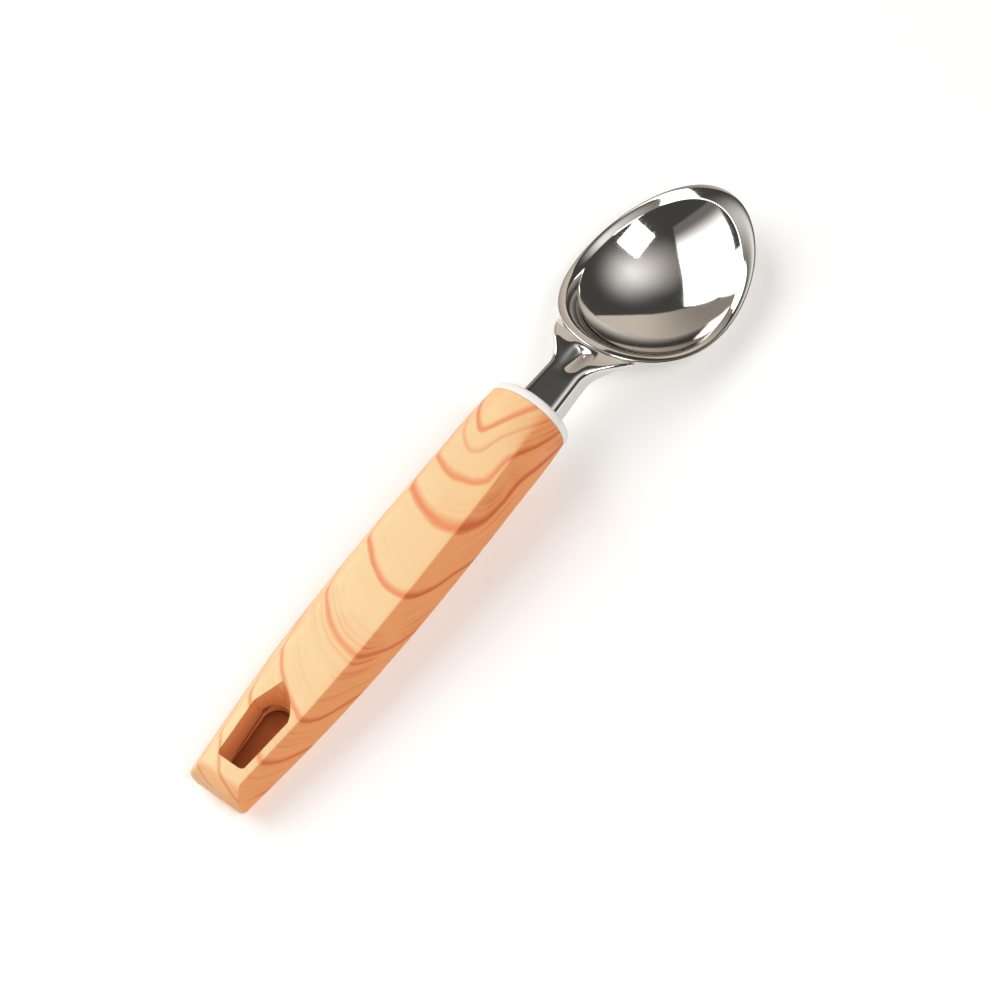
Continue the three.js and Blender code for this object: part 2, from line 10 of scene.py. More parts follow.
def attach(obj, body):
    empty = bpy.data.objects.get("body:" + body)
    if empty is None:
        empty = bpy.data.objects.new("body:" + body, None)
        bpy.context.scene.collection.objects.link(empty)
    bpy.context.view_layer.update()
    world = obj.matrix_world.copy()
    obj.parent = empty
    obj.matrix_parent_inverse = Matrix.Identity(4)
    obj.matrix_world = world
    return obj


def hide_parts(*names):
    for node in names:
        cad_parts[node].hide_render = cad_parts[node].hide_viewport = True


bl_info = {
    "name": "Ice Cream Scoop",
    "version": (1, 0, 0),
    "blender": (4, 5, 0),
    "location": "3D View > Sidebar > Scoop",
    "description": "Models an ice cream scoop of steel and wood-effect plastic on a studio floor",
    "category": "Add Mesh",
}

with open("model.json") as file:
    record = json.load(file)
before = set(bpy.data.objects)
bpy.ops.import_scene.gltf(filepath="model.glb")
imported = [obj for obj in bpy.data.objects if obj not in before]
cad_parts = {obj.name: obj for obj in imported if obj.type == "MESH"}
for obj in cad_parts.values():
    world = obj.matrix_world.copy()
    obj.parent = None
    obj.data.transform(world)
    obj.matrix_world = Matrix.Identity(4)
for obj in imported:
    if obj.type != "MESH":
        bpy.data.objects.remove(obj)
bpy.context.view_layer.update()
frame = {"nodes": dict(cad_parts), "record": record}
MM = 0.001


def grip_frame():
    """Frame of the grip: the middle of the butt, +X along the grip to the bowl, +Z up."""
    butt = next(m for m in frame["record"]["mounts"] if m["name"] == "butt_end")
    forward = -Vector(butt["axis"])
    left = Vector((0, 1, 0))
    turn = Matrix((forward, left, forward.cross(left))).transposed()
    return Matrix.Translation(butt["pos_m"]) @ turn.to_4x4()


GRIP = grip_frame()

# Top and side view of the grip: share of the length, of the half width, of the half height
GRIP_OUTLINE = (
    (0.00, 0.665, 0.680),
    (0.12, 0.790, 0.685),
    (0.25, 0.900, 0.720),
    (0.40, 0.975, 0.800),
    (0.57, 1.000, 0.885),
    (0.76, 0.985, 0.955),
    (0.90, 0.945, 0.995),
    (1.00, 0.885, 1.000),
)
CORNER_POWER = 28  # higher gives crisper ridges
# Steps round a quarter of the section, close together at the side (0) and at the ridge (1)
QUARTER = (0, 0.02, 0.05, 0.11, 0.25, 0.45, 0.65, 0.82, 0.91, 0.955, 0.98, 1,
           1.02, 1.05, 1.11, 1.24, 1.46, 1.72)
RING_STEP = 3.0 * MM  # distance between the rings of the grip
BUTT_RINGS = (0.66, 0.5, 0.36, 0.24, 0.16)  # on the end: distance from its edge in half widths
BUTT_FADE = 9 * MM  # the rings near the butt follow its rolled end over this length
BUTT_EDGE_STEPS = 5  # steps round the edge of the butt
CORNER_STEPS = 6  # steps round a corner of the slot
CAP_STEPS = 12  # steps along each half of the slot's front end
GRIP_SHARP = 32  # edges of the grip above this angle stay sharp
SLOT_SHARP = 35  # edges of the slot's rims above this angle are rounded

# Depth of colour on the grip, partly painted shade: nought on its top, one on its right side away from the
# light
LEFT_TONE = 0.3
END_TONE = 0.5
# Painted shade down the slot: it deepens from the mouth to the ledge and is darkest below the ledge
SLOT_MOUTH_SHADE = 1.04  # at the mouth of the slot
SLOT_LEDGE_SHADE = 1.34  # at the slot's ledge
SLOT_DEEP_SHADE = 2  # below the ledge
SIDE_FACING = (0.25, 0.75)  # share of the way to the side where the tone starts and is full
END_FACING = (0.3, 0.8)

# Grain down the grip: place and width in millimetres, strength
BANDS = (
    (-58, 3.0, 0.8), (-42, 3.4, 0.9), (-27, 2.8, 0.8), (-18.5, 2.8, 0.75), (-7, 2.8, 0.8),
    (7.6, 2.9, 0.95), (22.8, 2.8, 0.9), (42.8, 3.0, 0.9), (62.2, 3.4, 1.0), (81, 5.6, 1.0),
    (92.4, 3.4, 0.95), (100.6, 1.8, 0.6), (106.8, 3.8, 1.0),
)
STRANDS = (
    (-48, 2.2, 0.7), (-36.5, 1.8, 0.6), (-33, 1.4, 0.5), (-21, 1.6, 0.5), (15.6, 1.4, 0.4),
    (29.5, 1.5, 0.5), (37, 1.6, 0.6), (40.4, 1.5, 0.7), (45.4, 1.6, 0.8), (47.1, 1.2, 0.6),
    (49.6, 1.9, 0.8), (51.8, 1.2, 0.5), (56.5, 1.4, 0.4), (67.5, 1.6, 0.4), (72, 1.3, 0.4),
    (76.5, 1.6, 0.5), (85, 1.3, 0.6), (86.8, 1.6, 0.8), (88.4, 1.2, 0.7), (90.2, 1.3, 0.6),
    (95.6, 1.5, 0.6), (97.8, 1.3, 0.5), (103.4, 1.3, 0.4),
)
RAMP_BANDS = 7  # bands that one colour ramp has room for
BAND_STOPS = ((-0.3, 0), (-0.12, 1), (0.1, 1), (0.55, 0))  # place in widths, share of the strength
GRAIN_FROM = -80  # ends of the ramps
GRAIN_TO = 130

# Course of the grain, in millimetres: C shapes that open to the bowl
C_BOW = 0.047  # run of a C's arms per square of the distance from its middle
C_MIDDLE = -13.2  # at the butt that middle lies to the right of the grip
C_LEAN = 0.135  # along the grip it moves to the left
TIGHT_FROM = 82  # between these places the C shapes tighten
TIGHT_TO = 132
TIGHT_BOW = 0.00009  # what that adds to the bow, per square of the way
TIGHT_LEAN = 0.09  # and to the lean
V_FROM = 97  # between these places they turn into Vs
V_TO = 108
V_RUN = 1.4  # run of a V's arms
SIDE_TOP = 10  # height from which the arms run on down the sides
SIDE_BOW = 0.15  # their run there, per square of the way down
SWAY = 5  # height of the long waves
RIPPLE = 1.4  # and of the short ones
SLOT_FADE = 25  # higher ends the grain more sharply at the slot
CLOUDINESS = 0.09


def linear(hex_colour):
    """sRGB hex value as linear red, green and blue."""
    parts = [int(hex_colour[i:i + 2], 16) / 255 for i in (0, 2, 4)]
    return tuple(c / 12.92 if c <= 0.04045 else ((c + 0.055) / 1.055) ** 2.4 for c in parts)


def millimetres(name, size, description):
    return bpy.props.FloatProperty(
        name=name, description=description, default=size * MM, unit="LENGTH", precision=4)


def fraction(name, value, description):
    return bpy.props.FloatProperty(
        name=name, description=description, default=value, min=0, max=1, subtype="FACTOR")


def degrees(name, value, description):
    return bpy.props.FloatProperty(
        name=name, description=description, default=math.radians(value), subtype="ANGLE")


def paint(name, hex_colour, description):
    return bpy.props.FloatVectorProperty(
        name=name, description=description, default=linear(hex_colour), min=0, max=1, subtype="COLOR")


class ScoopGripSizes(bpy.types.PropertyGroup):
    """Sizes of the grip and its hanging slot"""

    length: millimetres("Length", 119.5, "Grip from the butt to the collar")
    width: millimetres("Width", 25, "Widest place of the grip")
    height: millimetres("Height", 20.4, "Thickness at the collar")
    facet: fraction("Facet", 0.63, "Flat top and bottom against the full width")
    round_from: millimetres("Round From", 24, "Length over which the facets turn round")
    round_end: millimetres("Round End", 3.6, "Fully round length at the very front")
    butt_edge: millimetres("Butt Edge", 1, "Rounding of the edge round the butt")
    butt_roll: millimetres("Butt Roll", 2.9, "The end rolls over by this length")
    butt_bulge: millimetres("Butt Bulge", 0.4, "What the flat end takes off that roll")
    reach: millimetres("Reach", 0.22, "The grip reaches over the joint by this")
    socket_depth: millimetres("Socket Depth", 69.5, "Socket for the tang and its core")
    socket_wall: millimetres("Socket Wall", 2.8, "Wall round the socket")
    slot_start: millimetres("Slot Start", 6.2, "From the butt to the hanging slot")
    slot_straight: millimetres("Slot Straight", 15.2, "Straight sides of the slot")
    slot_rear: millimetres("Slot Rear", 7.8, "Width of the slot towards the butt")
    slot_front: millimetres("Slot Front", 10, "Width of the slot towards the bowl")
    slot_corner: millimetres("Slot Corner", 1.2, "Corner radius of the slot")
    slot_lean: millimetres("Slot Lean", 1.2, "The left wall leans in by this down to the ledge")
    slot_under: millimetres("Slot Under", 0.3, "Left wall at the underside, from the middle")
    slot_draft: millimetres("Slot Draft", 0.2, "The right wall leans and steps in by this")
    slot_ledge: millimetres("Slot Ledge", 0.4, "Step half way down the slot")
    slot_ledge_z: millimetres("Ledge Height", -0.8, "Height of that step")
    lead_length: millimetres("Lead Length", 7.7, "Scooped lead-in past the straight sides")
    lead_offset: millimetres("Lead Offset", 2.7, "Point of the lead-in to the left of the middle")
    lead_bow: fraction("Lead Bow", 0.64, "How far the edges of the lead-in bow out")
    lead_z: millimetres("Lead Height", 2.2, "Height at which the lead-in drops into the slot")
    edge: millimetres("Edge", 0.2, "Rounding of the slot's edges")


class ScoopBowlSizes(bpy.types.PropertyGroup):
    """Sizes of the pressed bowl"""

    rim_start: millimetres("Rim Start", 144.8, "From the butt to the rim at the neck")
    rim_length: millimetres("Rim Length", 61.2, "Rim along the scoop")
    rim_width: millimetres("Rim Width", 44, "Rim across the scoop")
    rim_egg: fraction("Egg", 0.06, "How much fuller the rim is towards the neck")
    neck_z: millimetres("Rim At Neck", 0.2, "Height of the rim at the neck")
    low_z: millimetres("Rim At Side", -11.2, "Height of the rim at its lowest")
    tip_z: millimetres("Rim At Tip", -6.5, "Height of the rim at the tip")
    low_share: fraction("Lowest Place", 0.54, "Place of the lowest point along the rim")
    lip_side: millimetres("Lip At Side", 3.1, "Width of the lip at the sides")
    lip_tip: millimetres("Lip At Tip", 5.4, "Width of the lip at the tip")
    lip_neck: millimetres("Lip At Neck", 3, "Width of the lip at the neck")
    lip_slope: degrees("Lip Slope", 18, "The lip falls inwards by this angle")
    tip_slope: degrees("Lip Slope At Tip", 6, "The lip lies flatter at the tip")
    lip_roll: degrees("Lip Roll", 30, "The lip's edge rolls over by this angle")
    lip_drop: millimetres("Lip Drop", 0.6, "The rolled edge lies this far below the rim")
    lip_bend: millimetres("Lip Bend", 1.1, "Run of the bend from the lip to the wall")
    shoulder_run: millimetres("Shoulder Run", 5.2, "Steep shoulder below the lip at the neck")
    shoulder_drop: millimetres("Shoulder Drop", 8.8, "Height of that shoulder")
    bend_share: fraction("Bend End", 0.99, "The bend meets the wall at this share of its radius")
    floor_z: millimetres("Floor", -18.5, "Height of the floor of the bowl")
    fullness: fraction("Fullness", 0.7, "Nearer to one gives a steeper wall")
    sheet: millimetres("Sheet", 1, "Thickness of the pressed steel")
    edge: millimetres("Edge", 0.4, "Rounding of the outer edge of the rim")
    edge_back: millimetres("Edge Back", 0.62, "The rounding starts this far inside the rim")


class ScoopColours(bpy.types.PropertyGroup):
    """Colours of the finishes"""

    grain_top: paint("Top", "FCE2AD", "Pale ground of the grip's top")
    grain_front: paint("Front", "FCD59E", "Ground of the top towards the collar")
    # The side colours are partly painted shade: they show in full on the right side, away from the light,
    # and less on the lit left side
    grain_side_and_shade: paint("Side", "F8A465", "Ground of the grip's sides")
    band_top: paint("Top Band", "F3935F", "Grain bands on the top")
    band_side_and_shade: paint("Side Band", "D8642E", "Grain bands on the sides")
    # Painted shade: the dark brown of the slot's lower walls stands in for the shade deep in the slot
    slot: paint("Slot", "74370A", "Lower walls of the hanging slot")
    steel: paint("Steel", "DCD8D2", "Polished stainless steel")
    weld: paint("Weld", "A8A39B", "Ground weld")
    pin: paint("Pin", "8F8B84", "Drawn wire of the pins")
    collar: paint("Collar", "FCF8F4", "White plastic of the collar")
    core: paint("Core", "EFEAE4", "White plastic of the core")
    floor: paint("Floor", "F4F3F1", "Studio paper")


# Materials

MATH = "ShaderNodeMath"
RANGE = "ShaderNodeMapRange"
NOISE = "ShaderNodeTexNoise"
MIX = "ShaderNodeMix"
PRINCIPLED = "ShaderNodeBsdfPrincipled"
OUTPUT = "ShaderNodeOutputMaterial"
PAPER_LIFT = 0.27  # brings the paper up to white where the camera or the steel sees it
PAPER_CLOUD = 0.99  # darkest share of the paper's cloudiness
PLASTIC_CLOUD = 0.94  # and of the white plastic's


def add_node(tree, kind, inputs=(), **settings):
    """Adds a node, sets it, and gives its inputs, in order or by name, values, sockets or nodes."""
    made = tree.nodes.new(kind)
    for name, value in settings.items():
        setattr(made, name, value)
    if isinstance(inputs, dict):
        in_use = {socket.name: socket for socket in made.inputs if socket.enabled}
        inputs = [(in_use[name], value) for name, value in inputs.items()]
    else:
        inputs = zip(made.inputs, inputs)
    for socket, value in inputs:
        if isinstance(value, bpy.types.Node):
            value = next(s for s in value.outputs if s.enabled)
        if isinstance(value, bpy.types.NodeSocket):
            tree.links.new(value, socket)
        else:
            socket.default_value = value
    return made


def new_material(name):
    """A material with an empty node tree, and the function that adds its nodes."""
    material = bpy.data.materials.new(name)
    material.use_nodes = True
    material.node_tree.nodes.clear()
    return material, partial(add_node, material.node_tree)


def rgba(rgb):
    return (*rgb, 1)


def set_bands(ramp, bands):
    """Stops of a ramp: each band starts crisp towards the butt and fades towards the bowl."""
    elements = ramp.color_ramp.elements
    elements.remove(elements[1])
    elements[0].color = (0, 0, 0, 1)
    for place, width, strength in bands:
        for offset, share in BAND_STOPS:
            at = (place + offset * width - GRAIN_FROM) / (GRAIN_TO - GRAIN_FROM)
            level = share * strength
            elements.new(at).color = (level, level, level, 1)


def banded(node, place, bands):
    """Strength of the bands at a place down the grip, from as many ramps as they need."""
    strength = 0
    for first in range(0, len(bands), RAMP_BANDS):
        ramp = node("ShaderNodeValToRGB", [place])
        set_bands(ramp, bands[first:first + RAMP_BANDS])
        strength = node(MATH, [ramp, strength], operation="MAXIMUM")
    return strength


def grip_millimetres(node):
    """Place in the grip's frame, in millimetres."""
    place = node("ShaderNodeTexCoord").outputs["Object"]
    return node("ShaderNodeMapping", {
        "Vector": place, "Location": GRIP.to_translation(), "Rotation": GRIP.to_euler(),
        "Scale": (MM, MM, MM)}, vector_type="TEXTURE")


def grain_course(node, grip, x, y, z):
    """Field whose height lines the grain follows: those of a hollow that leans to the right."""
    tight = node(RANGE, {
        "Value": x, "From Min": TIGHT_FROM, "From Max": TIGHT_TO, "To Max": TIGHT_TO - TIGHT_FROM})
    tight_2 = node(MATH, [tight, tight], operation="MULTIPLY")
    bow = node(MATH, [tight_2, -TIGHT_BOW, -C_BOW], operation="MULTIPLY_ADD")
    lean = node(MATH, [x, C_LEAN, C_MIDDLE], operation="MULTIPLY_ADD")
    middle = node(MATH, [tight, TIGHT_LEAN, lean], operation="MULTIPLY_ADD")
    across = node(MATH, [y, middle], operation="SUBTRACT")
    across_2 = node(MATH, [across, across], operation="MULTIPLY")
    curve = node(MATH, [across_2, bow], operation="MULTIPLY")

    # Next to the collar the C shapes turn into Vs with a blunt point
    blunted = node(MATH, [across_2, 1])
    arms = node(MATH, [blunted, 0.5], operation="POWER")
    vee = node(MATH, [arms, -V_RUN, V_RUN], operation="MULTIPLY_ADD")
    by_collar = node(RANGE, {"Value": x, "From Min": V_FROM, "From Max": V_TO})
    bend = node(MIX, {"Factor": by_collar, "A": curve, "B": vee})
    bowed = node(MATH, [x, bend])
    down = node(MATH, [z, SIDE_TOP], operation="SUBTRACT")
    down_2 = node(MATH, [down, down], operation="MULTIPLY")
    lines = node(MATH, [down_2, -SIDE_BOW, bowed], operation="MULTIPLY_ADD")

    # Waves of 20 mm and 6 mm keep the bands from looking drawn with a compass
    sway = node(NOISE, {"Vector": grip, "Scale": 1 / 20, "Detail": 1})
    ripple = node(NOISE, {"Vector": grip, "Scale": 1 / 6, "Detail": 2})
    swayed = node(MATH, [sway, SWAY, lines], operation="MULTIPLY_ADD")
    rippled = node(MATH, [ripple, RIPPLE, swayed], operation="MULTIPLY_ADD")
    return node(MATH, [rippled, (SWAY + RIPPLE) / 2], operation="SUBTRACT")


def grain_amount(node, x, field, patchy, side, slot_shade):
    """How much of the grain's colour shows: broad bands, with patches of strands between them."""
    ramped = node(RANGE, {"Value": field, "From Min": GRAIN_FROM, "From Max": GRAIN_TO})
    broad = banded(node, ramped, BANDS)

    # Finer lines lie 1.6 mm apart, and all strands are stronger on the sides
    place = node("ShaderNodeCombineXYZ", [field])
    streaks = node(NOISE, {"Vector": place, "Scale": 1 / 1.6, "Detail": 3, "Roughness": 0.6})
    faint = node(RANGE, {"Value": streaks, "From Min": 0.48, "From Max": 0.75, "To Max": 0.55})
    strands = node(MATH, [banded(node, ramped, STRANDS), faint], operation="MAXIMUM")
    boost = node(RANGE, {"Value": side, "To Min": 0.5, "To Max": 1.1})
    shown = node(MATH, [patchy, boost], operation="MULTIPLY")
    thin = node(MATH, [strands, shown], operation="MULTIPLY")
    either = node(MATH, [broad, thin], operation="MAXIMUM")

    # The slot is bare, and so is the right side next to the butt
    outside = node(MATH, [slot_shade, -SLOT_FADE, 1], operation="MULTIPLY_ADD", use_clamp=True)
    near_butt = node(RANGE, {"Value": x, "From Min": 2, "From Max": 6, "To Min": 1, "To Max": 0})
    right = node(RANGE, {"Value": side, "From Min": 0.7})
    bare = node(MATH, [near_butt, right], operation="MULTIPLY")
    kept = node(MATH, [outside, bare], operation="SUBTRACT", use_clamp=True)
    return node(MATH, [either, kept], operation="MULTIPLY", use_clamp=True)


def wood_effect_abs(colours, sizes):
    """Moulded ABS coloured as wood: satin, pale, with broad orange-brown bands.

    The bands are long C shapes that open to the bowl, crisp on one side and soft on the other. The sides
    of the grip carry a deeper tone than its top, partly as painted shade: it is full on the right side,
    away from the light, and the slot is darker down its depth as painted shade. A fine mould texture keeps
    the gloss low."""
    material, node = new_material("wood_effect_abs")
    grip = grip_millimetres(node)
    x, y, z = node("ShaderNodeSeparateXYZ", [grip]).outputs
    # The stored tone is partly painted shade: on the sides it is full on the right, away from the light,
    # and above one it is painted shade down the slot
    tone = node("ShaderNodeAttribute", attribute_name="side_tone_and_shade").outputs["Fac"]
    side = node(MATH, [tone, 1], operation="MINIMUM")
    slot_shade = node(MATH, [tone, 1], operation="SUBTRACT", use_clamp=True)
    # Strands and cloudiness come in patches of 14 mm
    patches = node(NOISE, {"Vector": grip, "Scale": 1 / 14, "Detail": 2})
    patchy = node(RANGE, {"Value": patches, "From Min": 0.42, "From Max": 0.62})
    amount = grain_amount(node, x, grain_course(node, grip, x, y, z), patchy, side, slot_shade)

    # Painted shade: the top gets a little deeper towards the right, away from the light, and it has patches
    # of cloud
    shade_rightwards = node(RANGE, {"Value": y, "From Min": 8, "From Max": -8, "To Max": 0.22})
    shaded = node(MATH, [side, shade_rightwards])
    cloud_and_shade = node(MATH, [patchy, CLOUDINESS, shaded], operation="MULTIPLY_ADD", use_clamp=True)
    forward = node(RANGE, {"Value": x, "From Min": 20, "From Max": sizes.length / MM})
    top = node(MIX, {
        "Factor": forward, "A": rgba(colours.grain_top), "B": rgba(colours.grain_front)}, data_type="RGBA")
    # On the sides and towards the right the ground and the bands take their side colours, partly painted
    # shade
    ground = node(MIX, {"Factor": cloud_and_shade, "A": top, "B": rgba(colours.grain_side_and_shade)}, data_type="RGBA")
    band = node(MIX, {
        "Factor": side, "A": rgba(colours.band_top), "B": rgba(colours.band_side_and_shade)}, data_type="RGBA")
    grained = node(MIX, {"Factor": amount, "A": ground, "B": band}, data_type="RGBA")
    # Down the slot the colour turns to the painted shade of its lower walls
    coloured = node(MIX, {"Factor": slot_shade, "A": grained, "B": rgba(colours.slot)}, data_type="RGBA")

    # Mould texture of 0.35 mm grit, and less sheen down in the slot
    grit = node(NOISE, {"Vector": grip, "Scale": 1 / 0.35, "Detail": 2})
    bump = node("ShaderNodeBump", {"Height": grit, "Strength": 0.08, "Distance": 0.05 * MM})
    rough = node(RANGE, {"Value": grit, "To Min": 0.46, "To Max": 0.58})
    sheen = node(RANGE, {"Value": slot_shade, "To Min": 0.4, "To Max": 0.1})
    shader = node(PRINCIPLED, {
        "Base Color": coloured, "Roughness": rough, "Normal": bump, "IOR": 1.53,
        "Specular IOR Level": sheen})
    node(OUTPUT, {"Surface": shader})
    return material


def polished_steel(colours):
    """Stainless sheet, pressed and then buffed: a clear mirror that is a little uneven.

    The press leaves shallow waves of about a centimetre, and buffing leaves hair lines that only widen
    the highlights."""
    material, node = new_material("polished_stainless_steel")
    grip = grip_millimetres(node)
    waves = node(NOISE, {"Vector": grip, "Scale": 1 / 11, "Detail": 1})
    bump = node("ShaderNodeBump", {"Height": waves, "Strength": 0.05, "Distance": 0.2 * MM})
    stretched = node("ShaderNodeMapping", {"Vector": grip, "Scale": (0.15, 2.2, 2.2)})
    hairs = node(NOISE, {"Vector": stretched, "Scale": 1, "Detail": 3})
    rough = node(RANGE, {
        "Value": hairs, "From Min": 0.3, "From Max": 0.7, "To Min": 0.05, "To Max": 0.09})
    shader = node(PRINCIPLED, {
        "Base Color": rgba(colours.steel), "Metallic": 1, "Roughness": rough, "Normal": bump})
    node(OUTPUT, {"Surface": shader})
    return material


def worked_steel(name, rgb, grain, rough_from, rough_to):
    """Bare steel that was ground or drawn: dull, with a grain of the given width in millimetres."""
    material, node = new_material(name)
    marks = node(NOISE, {"Vector": grip_millimetres(node), "Scale": 1 / grain, "Detail": 3})
    bump = node("ShaderNodeBump", {"Height": marks, "Strength": 0.3, "Distance": 0.1 * MM})
    rough = node(RANGE, {"Value": marks, "To Min": rough_from, "To Max": rough_to})
    shader = node(PRINCIPLED, {
        "Base Color": rgba(rgb), "Metallic": 1, "Roughness": rough, "Normal": bump})
    node(OUTPUT, {"Surface": shader})
    return material


def white_plastic(name, rgb, rough_from, rough_to):
    """White polypropylene as it leaves the mould: smooth, waxy, a little uneven in its gloss."""
    material, node = new_material(name)
    cloud = node(NOISE, {"Vector": grip_millimetres(node), "Scale": 1 / 4, "Detail": 3})
    dark = [PLASTIC_CLOUD * c for c in rgb]
    shade = node(MIX, {"Factor": cloud, "A": rgba(rgb), "B": rgba(dark)}, data_type="RGBA")
    rough = node(RANGE, {"Value": cloud, "To Min": rough_from, "To Max": rough_to})
    shader = node(PRINCIPLED, {"Base Color": shade, "Roughness": rough, "IOR": 1.49})
    node(OUTPUT, {"Surface": shader})
    return material


def studio_paper(name, rgb):
    """Matt background paper, with a faint cloudiness 300 mm wide."""
    material, node = new_material(name)
    place = node("ShaderNodeTexCoord").outputs["Object"]
    cloud = node(NOISE, {"Vector": place, "Scale": 1 / 0.3})
    dark = [PAPER_CLOUD * c for c in rgb]
    shade = node(MIX, {"Factor": cloud, "A": rgba(rgb), "B": rgba(dark)}, data_type="RGBA")
    paper = node("ShaderNodeBsdfDiffuse", {"Color": shade})
    ray = node("ShaderNodeLightPath").outputs
    mirrored = node(MATH, [ray["Is Glossy Ray"], ray["Is Transmission Ray"]], operation="MAXIMUM")
    seen = node(MATH, [ray["Is Camera Ray"], mirrored], operation="MAXIMUM")
    level = node(MATH, [seen, PAPER_LIFT], operation="MULTIPLY")
    lift = node("ShaderNodeEmission", {"Color": shade, "Strength": level})
    shader = node("ShaderNodeAddShader", [paper, lift])
    node(OUTPUT, {"Surface": shader})
    return material


# Modelling steps


def mix(a, b, t):
    return a + (b - a) * t


def ease(value, low, high):
    """Smooth step from nought to one."""
    t = min(max((value - low) / (high - low), 0), 1)
    return t * t * (3 - 2 * t)


def along(rows, column, at):
    """Smooth value between rows."""
    last = len(rows) - 1
    i = 0
    while i < last - 1 and at > rows[i + 1][0]:
        i += 1

    def slope(k):
        before = rows[max(k - 1, 0)]
        after = rows[min(k + 1, last)]
        return (after[column] - before[column]) / (after[0] - before[0])

    step = rows[i + 1][0] - rows[i][0]
    t = min(max((at - rows[i][0]) / step, 0), 1)
    line = mix(rows[i][column], rows[i + 1][column], t * t * (3 - 2 * t))
    return line + step * (t * (1 - t) ** 2 * slope(i) + t * t * (t - 1) * slope(i + 1))


def loft(name, loops):
    """A tube through loops of points in the grip's frame, left in edit mode."""
    bpy.ops.object.select_all(action="DESELECT")
    bpy.ops.mesh.primitive_circle_add(vertices=len(loops[0]), radius=10 * MM)
    piece = bpy.context.object
    piece.name = name
    bpy.ops.object.mode_set(mode="EDIT")
    mesh = bmesh.from_edit_mesh(piece.data)
    mesh.verts.layers.int.new("step")
    step = mesh.verts.layers.int["step"]
    for k, vertex in enumerate(mesh.verts):
        vertex[step] = k
    bmesh.update_edit_mesh(piece.data)
    for i, loop in enumerate(loops):
        if i:
            bpy.ops.mesh.extrude_edges_indiv()
        mesh = bmesh.from_edit_mesh(piece.data)
        step = mesh.verts.layers.int["step"]
        for vertex in mesh.verts:
            if vertex.select:
                vertex.co = GRIP @ Vector(loop[vertex[step]])
        bmesh.update_edit_mesh(piece.data)
    return piece


def close(piece):
    """Fills the open ends of a loft and tidies its faces."""
    bpy.ops.mesh.edge_face_add()
    bpy.ops.mesh.select_all(action="DESELECT")
    bpy.ops.mesh.select_non_manifold()
    bpy.ops.mesh.edge_face_add()
    tidy_faces(piece)


def tidy_faces(piece):
    """Merges doubles, turns the faces outwards and leaves edit mode."""
    bpy.ops.mesh.select_all(action="SELECT")
    bpy.ops.mesh.remove_doubles(threshold=0.002 * MM)
    bpy.ops.mesh.normals_make_consistent(inside=False)
    bpy.ops.object.mode_set(mode="OBJECT")
    step = piece.data.attributes.get("step")
    if step:
        piece.data.attributes.remove(step)


def apply_modifier(piece, kind, **settings):
    """Adds a modifier, sets it and applies it."""
    modifier = piece.modifiers.new(kind.title(), kind)
    for name, value in settings.items():
        setattr(modifier, name, value)
    bpy.context.view_layer.objects.active = piece
    bpy.ops.object.modifier_apply(modifier=modifier.name)


def round_edges(piece, width, angle):
    """Rounds the edges that are sharper than the angle in degrees."""
    apply_modifier(piece, "BEVEL", width=width, segments=2, limit_method="ANGLE",
                   angle_limit=math.radians(angle))


def cut(piece, cutter):
    """Cuts a solid out of a piece."""
    apply_modifier(piece, "BOOLEAN", operation="DIFFERENCE", solver="EXACT", object=cutter)
    bpy.data.objects.remove(cutter)


def select_only(piece):
    """Selects one piece and makes it active."""
    bpy.ops.object.select_all(action="DESELECT")
    piece.select_set(True)
    bpy.context.view_layer.objects.active = piece


def smooth(piece, angle):
    """Smooth shading, with edges sharper than the angle in degrees left sharp."""
    select_only(piece)
    bpy.ops.object.shade_smooth_by_angle(angle=math.radians(angle))


def copy_of(node, name):
    """A copy of a CAD node with its loose triangles merged, left in edit mode."""
    piece = bpy.data.objects.new(name, frame["nodes"][node].data.copy())
    piece.data.name = name
    bpy.context.scene.collection.objects.link(piece)
    select_only(piece)
    bpy.ops.object.mode_set(mode="EDIT")
    bpy.ops.mesh.select_all(action="SELECT")
    bpy.ops.mesh.remove_doubles(threshold=0.001 * MM)
    return piece


def dress(item, material):
    """Gives an object one material in place of its own."""
    item.data.materials.clear()
    item.data.materials.append(material)


def finish_piece(piece, material, node):
    """Gives a piece its material and puts it in place of its CAD node."""
    dress(piece, material)
    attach(piece, "root")
    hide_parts(node)


# Grip


def half_width(sizes, x):
    return sizes.width / 2 * along(GRIP_OUTLINE, 1, x / sizes.length)


def half_height(sizes, x):
    return sizes.height / 2 * along(GRIP_OUTLINE, 2, x / sizes.length)


def grip_radius(sizes, turn, width, height, roundness):
    """Section of the grip: a flat-topped hexagon with soft ridges that turns round at the front."""
    c = abs(math.cos(turn))
    s = abs(math.sin(turn))
    wide = width * 2 ** (1 / CORNER_POWER)
    fall = (1 - sizes.facet) * s / height
    terms = (s / height, c / wide + fall, max(c / wide - fall, 0))
    hexagon = sum(t ** CORNER_POWER for t in terms) ** (-1 / CORNER_POWER)
    ellipse = 1 / math.hypot(c / width, s / height)
    return mix(hexagon, ellipse, roundness)


def section_turns(sizes, x):
    """Angles round the section, close together at the ridges."""
    ridge = math.atan2(half_height(sizes, x), sizes.facet * half_width(sizes, x))
    quarter = [t * ridge if t <= 1 else mix(ridge, math.pi / 2, t - 1) for t in QUARTER]
    half = [*quarter, math.pi / 2, *[math.pi - a for a in reversed(quarter[1:])]]
    return [*half, *[a + math.pi for a in half]]


def grip_loop(sizes, x, section_x, inset=0):
    width = half_width(sizes, section_x)
    height = half_height(sizes, section_x)
    roundness = ease(section_x, sizes.length - sizes.round_from, sizes.length - sizes.round_end)
    points = []
    for turn in section_turns(sizes, section_x):
        r = grip_radius(sizes, turn, width, height, roundness) * (1 - inset / width)
        points.append((x, r * math.cos(turn), r * math.sin(turn)))
    return points


